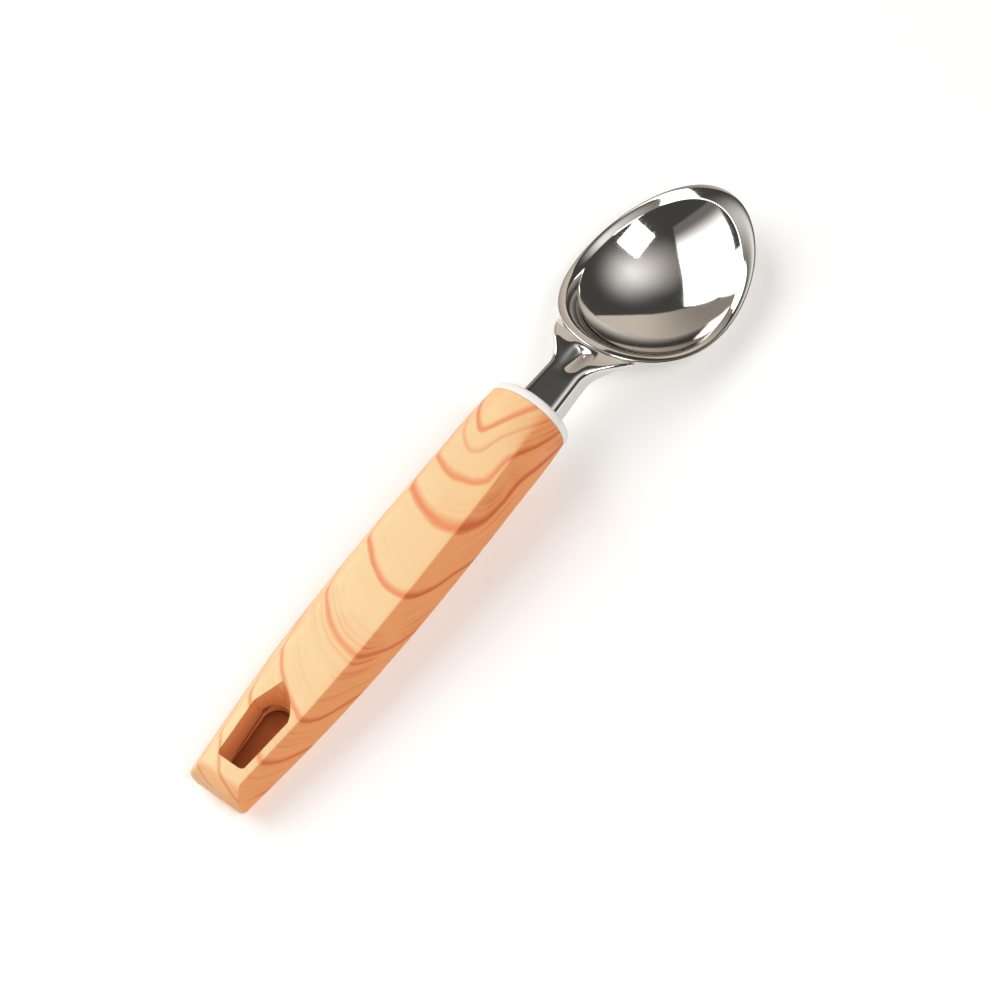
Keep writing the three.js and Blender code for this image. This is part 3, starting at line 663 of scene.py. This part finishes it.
def butt_loop(sizes, x, inset):
    """A loop near the butt, pushed forward at the top and the bottom by the roll of the end."""
    half = half_height(sizes, sizes.butt_roll)
    drop = sizes.butt_roll + sizes.butt_bulge
    radius = (half ** 2 + drop ** 2) / (2 * drop)
    fade = max(1 - x / BUTT_FADE, 0) ** 2
    flat = grip_loop(sizes, x, x, inset)
    points = []
    for k, (_, _, z) in enumerate(flat):
        roll = radius - sizes.butt_bulge - math.sqrt(radius ** 2 - min(z * z, half ** 2))
        forward = x + fade * max(roll, 0)
        points.append(grip_loop(sizes, forward, forward, inset)[k])
    return points


def socket_loop(sizes, x):
    """Round socket that tapers with the grip."""
    end = sizes.length - sizes.socket_depth
    t = (x - end) / sizes.socket_depth
    wide = mix(half_width(sizes, end), half_width(sizes, sizes.length), t) - sizes.socket_wall
    high = mix(half_height(sizes, end), half_height(sizes, sizes.length), t) - sizes.socket_wall
    return [(x, wide * math.cos(a), high * math.sin(a)) for a in section_turns(sizes, sizes.length)]


def slot_tip(sizes):
    """Point of the slot's lead-in, from the butt."""
    return sizes.slot_start + sizes.slot_straight + sizes.lead_length


def slot_loop(sizes, rear_left, front_left, inset, cap, z, cap_z):
    """The hanging slot at one level: distances of its left wall, inset of its right wall."""
    bend = sizes.slot_start + sizes.slot_straight
    right = sizes.slot_front / 2 - inset

    def corner(reach, side):
        points = []
        for step in range(CORNER_STEPS + 1):
            a = math.radians(90 * step / CORNER_STEPS)
            x = sizes.slot_start + sizes.slot_corner * (1 - math.sin(a))
            points.append((x, side * (reach - sizes.slot_corner * (1 - math.cos(a))), z))
        return points

    tip = [(x, y, cap_z) for x, y in cap(sizes, bend, right, front_left)]
    rear_right = reversed(corner(sizes.slot_rear / 2 - inset, -1))
    return [*rear_right, (bend, -right, z), *tip, (bend, front_left, z), *corner(rear_left, 1)]


def round_cap(sizes, bend, right, left):
    radius = (left + right) / 2
    middle = (left - right) / 2
    turns = [math.radians(90 * k / CAP_STEPS) for k in range(1 - CAP_STEPS, CAP_STEPS)]
    return [(bend + radius * math.cos(a), middle + radius * math.sin(a)) for a in turns]


def pointed_cap(sizes, bend, right, left):
    """Two bowed edges that meet at the point of the lead-in."""
    tip = Vector((bend + sizes.lead_length, sizes.lead_offset))
    edges = []
    for y in (-right, left):
        start = Vector((bend, y))
        bow = Vector((bend + sizes.lead_bow * sizes.lead_length, sizes.lead_bow * y))
        steps = [k / CAP_STEPS for k in range(1, CAP_STEPS + 1)]
        edges.append([(1 - t) ** 2 * start + 2 * t * (1 - t) * bow + t * t * tip for t in steps])
    right_edge, left_edge = edges
    return [*right_edge, *reversed(left_edge[:-1])]


def grip_loops(sizes):
    """Rings from the flat of the butt along the grip, round its front and down its socket."""
    butt = half_width(sizes, 0)
    loops = [butt_loop(sizes, 0, share * butt) for share in BUTT_RINGS]
    for step in range(BUTT_EDGE_STEPS + 1):
        a = math.radians(90 - 90 * step / BUTT_EDGE_STEPS)
        x = sizes.butt_edge * (1 - math.sin(a))
        loops.append(butt_loop(sizes, x, sizes.butt_edge * (1 - math.cos(a))))
    rings = round((sizes.length - sizes.butt_edge) / RING_STEP)
    for k in range(1, rings):
        loops.append(butt_loop(sizes, mix(sizes.butt_edge, sizes.length, k / rings), 0))
    front = sizes.length + sizes.reach
    loops.append(grip_loop(sizes, front - sizes.edge, sizes.length))
    loops.append(grip_loop(sizes, front, sizes.length, sizes.edge))
    loops.append(socket_loop(sizes, front))
    loops.append(socket_loop(sizes, sizes.length - sizes.socket_depth))
    return loops


def cut_slot(grip, sizes):
    """Cuts the hanging slot: a way through, and a funnel down to its ledge."""
    top = half_height(sizes, slot_tip(sizes)) + sizes.edge
    rear = sizes.slot_rear / 2
    wide = sizes.slot_front / 2
    lean = sizes.slot_lean
    draft = sizes.slot_draft
    ledge_z = sizes.slot_ledge_z
    funnel = loft("slot_funnel", [
        slot_loop(sizes, rear - lean, wide - lean, draft, round_cap, ledge_z, sizes.lead_z),
        slot_loop(sizes, rear, wide, 0, pointed_cap, top, top),
    ])
    close(funnel)
    ledge = lean + sizes.slot_ledge
    through = loft("slot_through", [
        slot_loop(sizes, sizes.slot_under, sizes.slot_under, 2 * draft, round_cap, -top, -top),
        slot_loop(sizes, rear - ledge, wide - ledge, 2 * draft, round_cap, ledge_z, ledge_z),
        slot_loop(sizes, rear - ledge, wide - ledge, 2 * draft, round_cap, top, top),
    ])
    close(through)
    cut(grip, through)
    cut(grip, funnel)


def round_slot(grip, sizes):
    """Rounds the rims of the slot."""
    to_grip = GRIP.inverted()
    front = slot_tip(sizes) + sizes.edge
    select_only(grip)
    bpy.ops.object.mode_set(mode="EDIT")
    bpy.ops.mesh.select_mode(type="EDGE")
    bpy.ops.mesh.select_all(action="DESELECT")
    mesh = bmesh.from_edit_mesh(grip.data)
    for edge in mesh.edges:
        middle = to_grip @ ((edge.verts[0].co + edge.verts[1].co) / 2)
        inside = sizes.slot_start - sizes.edge < middle.x < front and abs(middle.y) < sizes.slot_front
        rim = middle.z > sizes.lead_z + sizes.edge or middle.z < -sizes.lead_z
        sharp = edge.is_manifold and edge.calc_face_angle() > math.radians(SLOT_SHARP)
        edge.select = inside and rim and sharp
    mesh.select_flush_mode()
    bmesh.update_edit_mesh(grip.data)
    bpy.ops.mesh.bevel(offset=sizes.edge, segments=2, affect="EDGES", clamp_overlap=True)
    bpy.ops.object.mode_set(mode="OBJECT")


def paint_tone_and_shade(piece, sizes):
    """Stores the depth of colour at each corner of the faces, partly painted shade: full on the right side,
    away from the light, less on the lit left side, and deepening down the slot.
    """
    to_grip = GRIP.inverted()
    forward, left, _ = GRIP.to_3x3().col
    tip = slot_tip(sizes)
    mesh = piece.data
    tone = mesh.attributes.new("side_tone_and_shade", "FLOAT", "CORNER")
    for face in mesh.polygons:
        lower = (to_grip @ face.center).z < sizes.slot_ledge_z - sizes.edge
        for corner in face.loop_indices:
            x, y, z = to_grip @ mesh.vertices[mesh.loops[corner].vertex_index].co
            normal = mesh.corner_normals[corner].vector
            right = -normal.dot(left)
            top = half_height(sizes, x)
            inner = sizes.slot_start - sizes.edge < x < tip and abs(y) < sizes.slot_front / 2
            if not inner or abs(z) > top - 2 * sizes.edge:
                # Painted shade in part: the right side, away from the light, gets the full tone, the lit
                # left side less; the end takes half
                sides = (ease(right, *SIDE_FACING), LEFT_TONE * ease(-right, *SIDE_FACING))
                level = max(*sides, END_TONE * ease(-normal.dot(forward), *END_FACING))
            # Painted shade down the slot: darkest below the ledge, and deepening from the mouth to the
            # ledge above it
            elif lower:
                level = SLOT_DEEP_SHADE
            else:
                level = mix(SLOT_MOUTH_SHADE, SLOT_LEDGE_SHADE, (top - z) / (top - sizes.slot_ledge_z))
            tone.data[corner].value = level


class SCOOP_OT_grip(bpy.types.Operator):
    """Model the wood-effect grip with its socket and hanging slot"""

    bl_idname = "scoop.grip"
    bl_label = "Grip"

    def execute(self, context):
        sizes = context.scene.scoop_grip
        grip = loft("grip", grip_loops(sizes))
        close(grip)
        cut_slot(grip, sizes)
        round_slot(grip, sizes)
        smooth(grip, GRIP_SHARP)
        apply_modifier(grip, "WEIGHTED_NORMAL", keep_sharp=True, weight=60)
        paint_tone_and_shade(grip, sizes)
        plastic = wood_effect_abs(context.scene.scoop_colours, sizes)
        finish_piece(grip, plastic, "handle_shell")
        return {"FINISHED"}


# Collar, neck, welds and tang

COLLAR_EDGE = 0.12 * MM  # rounding of the edges
NECK_EDGE = 0.22 * MM
COLLAR_SHARP = 40  # edges above these angles are rounded, or stay sharp
NECK_SHARP = 50
STEEL_SHARP = 60
QUAD_ANGLE = 60  # triangles closer to flat and square than this make one quad


class SCOOP_OT_collar(bpy.types.Operator):
    """Finish the white collar that closes the front of the grip"""

    bl_idname = "scoop.collar"
    bl_label = "Collar"

    def execute(self, context):
        collar = copy_of("front_collar", "collar")
        bpy.ops.mesh.dissolve_limited(angle_limit=math.radians(1))
        bpy.ops.object.mode_set(mode="OBJECT")
        round_edges(collar, COLLAR_EDGE, COLLAR_SHARP)
        smooth(collar, COLLAR_SHARP)
        colours = context.scene.scoop_colours
        plastic = white_plastic("white_polypropylene", colours.collar, rough_from=0.32, rough_to=0.42)
        finish_piece(collar, plastic, "front_collar")
        return {"FINISHED"}


class SCOOP_OT_neck(bpy.types.Operator):
    """Finish the folded steel neck with its pressed dart"""

    bl_idname = "scoop.neck"
    bl_label = "Neck"

    def execute(self, context):
        neck = copy_of("neck", "channel_neck")
        angle = math.radians(QUAD_ANGLE)
        bpy.ops.mesh.tris_convert_to_quads(face_threshold=angle, shape_threshold=angle)
        bpy.ops.object.mode_set(mode="OBJECT")
        round_edges(neck, NECK_EDGE, NECK_SHARP)
        apply_modifier(neck, "SUBSURF", levels=2, render_levels=2)
        smooth(neck, STEEL_SHARP)
        finish_piece(neck, steel_material(context), "neck")
        return {"FINISHED"}


class SCOOP_OT_welds(bpy.types.Operator):
    """Finish the two weld beads under the joint of neck and rim"""

    bl_idname = "scoop.welds"
    bl_label = "Welds"

    def execute(self, context):
        colours = context.scene.scoop_colours
        material = worked_steel("ground_weld_steel", colours.weld, grain=0.6, rough_from=0.3, rough_to=0.5)
        for side in ("left", "right"):
            bead = copy_of(f"weld_seam_{side}", f"weld_bead_{side}")
            bpy.ops.mesh.tris_convert_to_quads()
            bpy.ops.object.mode_set(mode="OBJECT")
            apply_modifier(bead, "SUBSURF", levels=2, render_levels=2)
            smooth(bead, STEEL_SHARP)
            finish_piece(bead, material, f"weld_seam_{side}")
        return {"FINISHED"}


class SCOOP_OT_tang(bpy.types.Operator):
    """Dress the core and the pins inside the grip, which keep their CAD shape"""

    bl_idname = "scoop.tang"
    bl_label = "Core and Pins"

    def execute(self, context):
        colours = context.scene.scoop_colours
        plastic = white_plastic("core_polypropylene", colours.core, rough_from=0.5, rough_to=0.65)
        dress(frame["nodes"]["tang_core"], plastic)
        wire = worked_steel("drawn_steel_wire", colours.pin, grain=0.4, rough_from=0.35, rough_to=0.5)
        for pin in ("tang_pin_front", "tang_pin_rear"):
            dress(frame["nodes"][pin], wire)
        return {"FINISHED"}


# Bowl

BOWL_SECTIONS = 160  # round the bowl
WALL_STEPS = 36  # along a section: the wall, the bend, the lip and the edge of the rim
BEND_STEPS = 16
LIP_STEPS = 8
EDGE_STEPS = 9
FULL_NECK = 0.98  # above this share the lip runs straight to the neck


def steel_material(context):
    """One material for the bowl and the neck."""
    made = bpy.data.materials.get("polished_stainless_steel")
    return made or polished_steel(context.scene.scoop_colours)


def rim_point(sizes, turn):
    """Point of the rim, which is lowest at its sides."""
    x = sizes.rim_start + sizes.rim_length / 2 * (1 + math.cos(turn))
    y = sizes.rim_width / 2 * math.sin(turn) * (1 - sizes.rim_egg * math.cos(turn))
    low = sizes.rim_start + sizes.low_share * sizes.rim_length
    end = sizes.rim_start if x < low else sizes.rim_start + sizes.rim_length
    rise = (sizes.neck_z if x < low else sizes.tip_z) - sizes.low_z
    return x, y, sizes.low_z + rise * ((x - low) / (end - low)) ** 2


def bezier(controls, steps):
    """Points along a Bezier curve."""
    curve = []
    for k in range(steps + 1):
        points = controls
        while len(points) > 1:
            points = [a.lerp(b, k / steps) for a, b in zip(points, points[1:])]
        curve.append(points[0])
    return curve


def bowl_profile(sizes, turn):
    """Upper side of the sheet out to the rim, as distance from the middle and height."""
    x, y, z = rim_point(sizes, turn)
    radius = math.hypot(x - sizes.rim_start - sizes.rim_length / 2, y)
    neck = max(-math.cos(turn), 0) ** 2
    tip = max(math.cos(turn), 0) ** 2
    lip = mix(mix(sizes.lip_side, sizes.lip_tip, tip), sizes.lip_neck, neck)
    fall = math.tan(mix(sizes.lip_slope, sizes.tip_slope, tip))
    inside = Vector((radius - lip, z - lip * fall))
    edge = inside - neck * Vector((sizes.shoulder_run, sizes.shoulder_drop))
    start = math.sqrt(1 - sizes.fullness ** 2)

    def wall(r):
        level = (math.sqrt(1 - (sizes.fullness * r) ** 2) - start) / (1 - start)
        return Vector((edge.x * r, mix(edge.y, sizes.floor_z, level)))

    points = [wall(sizes.bend_share * k / WALL_STEPS) for k in range(WALL_STEPS)]
    bend_out = inside + sizes.lip_bend * Vector((1, fall))
    points += bezier([wall(sizes.bend_share), edge, inside, bend_out], BEND_STEPS)
    # The lip swells and rolls over at the rim, less so where the neck joins it
    roll = mix(math.tan(sizes.lip_roll), -fall, neck)
    end = Vector((radius - sizes.edge_back, z - mix(sizes.lip_drop, sizes.edge_back * fall, neck)))
    controls = [bend_out, end]
    if neck < FULL_NECK:
        run = (end.y - bend_out.y + roll * (end.x - bend_out.x)) / (fall + roll)
        controls.insert(1, bend_out + run * Vector((1, fall)))
    points += bezier(controls, LIP_STEPS)[1:]
    return points


def bowl_section(sizes, turn):
    """Closed section of the sheet: its upper side, the rounded edge, and its underside."""
    upper = bowl_profile(sizes, turn)
    under = []
    for i, p in enumerate(upper):
        before = upper[i - 1] if i else Vector((-upper[1].x, upper[1].y))
        after = upper[i + 1] if i + 1 < len(upper) else 2 * p - upper[i - 1]
        run = (after - before).normalized()
        under.append(p + sizes.sheet * Vector((run.y, -run.x)))
    middle = (upper[-1] + under[-1]) / 2
    half = (upper[-1] - under[-1]) / 2
    out = Vector((half.y, -half.x)).normalized() * sizes.edge
    turns = [math.radians(180 * k / EDGE_STEPS) for k in range(1, EDGE_STEPS)]
    arc = [middle + half * math.cos(a) + out * math.sin(a) for a in turns]
    return [*upper, *arc, *reversed(under)]


class SCOOP_OT_bowl(bpy.types.Operator):
    """Model the pressed steel bowl with its inward lip"""

    bl_idname = "scoop.bowl"
    bl_label = "Bowl"

    def execute(self, context):
        sizes = context.scene.scoop_bowl
        middle = sizes.rim_start + sizes.rim_length / 2
        sections = []
        for k in range(BOWL_SECTIONS):
            turn = 2 * math.pi * k / BOWL_SECTIONS
            x, y, _ = rim_point(sizes, turn)
            out = Vector((x - middle, y)).normalized()
            section = bowl_section(sizes, turn)
            sections.append([(middle + out.x * p.x, out.y * p.x, p.y) for p in section])
        bowl = loft("pressed_bowl", list(zip(*sections)))
        tidy_faces(bowl)
        smooth(bowl, STEEL_SHARP)
        finish_piece(bowl, steel_material(context), "bowl")
        return {"FINISHED"}


# Stage

CAMERA_TARGET = 90 * MM  # along the grip
CAMERA_DISTANCE = 0.7
CAMERA_BACK = math.radians(19.5)  # leans to the butt
CAMERA_RIGHT = math.radians(20.5)  # leans to the right of the scoop
CAMERA_TWIST = math.radians(50.42)  # of the scoop in the picture
CAMERA_LENS = 105.46
CAMERA_SHIFT = (0.047, 0.0078)
BOWL_PLACE = GRIP @ Vector((175 * MM, 0, -15 * MM))  # what the lamps and the cards face
FLOOR_SIZE = 8
ROOM_LEVEL = 0.07
WHITE = (1, 1, 1)
COOL_WHITE = (0.98, 0.99, 1)
WARM_WHITE = (1, 0.97, 0.93)
BEIGE = (1, 0.9, 0.8)


def place_camera(context):
    """Camera at the photograph's angle, set from the grip's own axes."""
    back = Vector((
        -math.sin(CAMERA_BACK),
        -math.cos(CAMERA_BACK) * math.sin(CAMERA_RIGHT),
        math.cos(CAMERA_BACK) * math.cos(CAMERA_RIGHT)))
    scoop = (Vector((1, 0, 0)) - back.x * back).normalized()
    side = scoop.cross(back)
    right = math.cos(CAMERA_TWIST) * scoop + math.sin(CAMERA_TWIST) * side
    up = math.sin(CAMERA_TWIST) * scoop - math.cos(CAMERA_TWIST) * side
    turn = Matrix((right, up, back)).transposed()
    data = bpy.data.cameras.new("camera")
    data.lens = CAMERA_LENS
    data.shift_x, data.shift_y = CAMERA_SHIFT
    data.clip_start = 0.01
    camera = bpy.data.objects.new("camera", data)
    target = GRIP @ Matrix.Translation((CAMERA_TARGET, 0, 0))
    camera.matrix_world = target @ turn.to_4x4() @ Matrix.Translation((0, 0, CAMERA_DISTANCE))
    context.scene.collection.objects.link(camera)
    context.scene.camera = camera


def facing_bowl(azimuth, elevation, distance, roll=0):
    """Place in a direction from the bowl, in degrees, that faces it and is turned by a roll."""
    a = math.radians(azimuth)
    e = math.radians(elevation)
    direction = Vector((math.cos(a) * math.cos(e), math.sin(a) * math.cos(e), math.sin(e)))
    turn = direction.to_track_quat("Z", "Y").to_matrix().to_4x4()
    place = Matrix.Translation(BOWL_PLACE + distance * direction)
    return place @ turn @ Matrix.Rotation(math.radians(roll), 4, "Z")


def lit_cloth(name, rgb, fade, reach, levels, centre=0, sheer=False):
    """Studio cloth lit from behind, with a brightness that changes across it."""
    material, node = new_material(name)
    place = node("ShaderNodeTexCoord").outputs["Object"]
    across = node("ShaderNodeMapping", {
        "Vector": place, "Location": (centre, 0, 0), "Scale": (reach, reach, reach)}, vector_type="TEXTURE")
    gradient = node("ShaderNodeTexGradient", {"Vector": across}, gradient_type=fade)
    level = node(RANGE, {
        "Value": gradient, "To Min": levels[0], "To Max": levels[1]}, interpolation_type="SMOOTHSTEP")
    light = node("ShaderNodeEmission", {"Color": rgba(rgb), "Strength": level})
    if sheer:
        light = node("ShaderNodeAddShader", [light, node("ShaderNodeBsdfTransparent")])
    node(OUTPUT, {"Surface": light})
    return material


def add_card(name, where, size, corners=4, lights=True, **cloth):
    """Card of lit cloth, square or round, that lights the scoop or only shows in its steel."""
    bpy.ops.mesh.primitive_circle_add(vertices=corners, radius=1, fill_type="NGON")
    card = bpy.context.object
    card.name = name
    if corners == 4:
        card.data.transform(Matrix.Rotation(math.radians(45), 4, "Z") @ Matrix.Scale(math.sqrt(2), 4))
    card.data.transform(Matrix.Diagonal((size[0] / 2, size[1] / 2, 1, 1)))
    card.matrix_world = where
    card.data.materials.append(lit_cloth(f"{name}_cloth", **cloth))
    card.visible_camera = False
    card.visible_diffuse = lights


def add_lamp(context, name, where, size, level, mirrored=True):
    """Area lamp whose face has the given brightness, and may stay out of reflections."""
    data = bpy.data.lights.new(name, "AREA")
    data.shape = "RECTANGLE"
    data.size, data.size_y = size
    data.energy = level * math.pi * size[0] * size[1]
    lamp = bpy.data.objects.new(name, data)
    lamp.matrix_world = where
    lamp.visible_camera = False
    lamp.visible_glossy = mirrored
    context.scene.collection.objects.link(lamp)


def dark_studio():
    """World: a dark room."""
    world = bpy.data.worlds.new("dark_studio")
    world.use_nodes = True
    tree = world.node_tree
    tree.nodes.clear()
    light = add_node(tree, "ShaderNodeBackground", {"Color": rgba(WARM_WHITE), "Strength": ROOM_LEVEL})
    add_node(tree, "ShaderNodeOutputWorld", {"Surface": light})
    return world


class SCOOP_OT_stage(bpy.types.Operator):
    """Set the floor, the lamps, the cards and the camera"""

    bl_idname = "scoop.stage"
    bl_label = "Stage"

    def execute(self, context):
        scene = context.scene
        scene.view_settings.view_transform = "Standard"
        scene.world = dark_studio()
        bpy.ops.object.select_all(action="DESELECT")
        bpy.ops.mesh.primitive_plane_add(size=FLOOR_SIZE)
        floor = context.object
        floor.name = "floor"
        floor.data.materials.append(studio_paper("studio_paper", scene.scoop_colours.floor))

        add_card("softbox", facing_bowl(125, 45.5, 1.2, roll=6), size=(2.0, 1.09),
                 rgb=WHITE, fade="LINEAR", centre=0.15, reach=0.65, levels=(3.0, 0.2))
        add_lamp(context, "square_lamp", facing_bowl(-105, 57, 1.2, roll=17), size=(0.54, 0.54), level=6)
        add_lamp(context, "side_fill", facing_bowl(-120, 14, 1.2), size=(1.0, 0.5), level=1.8,
                 mirrored=False)
        add_card("glow", facing_bowl(-38, 66, 1.2), size=(2.2, 2.2), corners=48, lights=False,
                 rgb=COOL_WHITE, fade="QUADRATIC_SPHERE", reach=1.1, levels=(0, 1.0), sheer=True)
        add_card("ceiling", facing_bowl(0, 89.9, 1.8), size=(2.2, 2.2), corners=64, lights=False,
                 rgb=WARM_WHITE, fade="SPHERICAL", reach=1.1, levels=(0, 0.45), sheer=True)
        add_card("wall", facing_bowl(100, 10, 1.0), size=(0.62, 0.9), lights=False,
                 rgb=WHITE, fade="LINEAR", reach=0.5, levels=(1.6, 1.6))
        add_card("reflector", facing_bowl(43, 4, 1.1), size=(1.92, 1.92), corners=64,
                 rgb=BEIGE, fade="LINEAR", centre=-0.5, reach=1.0, levels=(0.74, 0.32))
        place_camera(context)
        return {"FINISHED"}


class SCOOP_PT_tools(bpy.types.Panel):
    """Steps that make the scoop, in order"""

    bl_label = "Ice Cream Scoop"
    bl_space_type = "VIEW_3D"
    bl_region_type = "UI"
    bl_category = "Scoop"

    def draw(self, context):
        for operator in OPERATORS:
            self.layout.operator(operator.bl_idname)


SETTINGS = {"scoop_grip": ScoopGripSizes, "scoop_bowl": ScoopBowlSizes, "scoop_colours": ScoopColours}
OPERATORS = (SCOOP_OT_grip, SCOOP_OT_collar, SCOOP_OT_neck, SCOOP_OT_bowl, SCOOP_OT_welds,
             SCOOP_OT_tang, SCOOP_OT_stage)


def register():
    for group in SETTINGS.values():
        bpy.utils.register_class(group)
    for name, group in SETTINGS.items():
        setattr(bpy.types.Scene, name, bpy.props.PointerProperty(type=group))
    for operator in OPERATORS:
        bpy.utils.register_class(operator)
    bpy.utils.register_class(SCOOP_PT_tools)


def unregister():
    bpy.utils.unregister_class(SCOOP_PT_tools)
    for operator in reversed(OPERATORS):
        bpy.utils.unregister_class(operator)
    for name, group in SETTINGS.items():
        delattr(bpy.types.Scene, name)
        bpy.utils.unregister_class(group)


def main():
    register()
    bpy.ops.scoop.grip()
    bpy.ops.scoop.collar()
    bpy.ops.scoop.neck()
    bpy.ops.scoop.bowl()
    bpy.ops.scoop.welds()
    bpy.ops.scoop.tang()
    bpy.ops.scoop.stage()


if __name__ == "__main__":
    main()
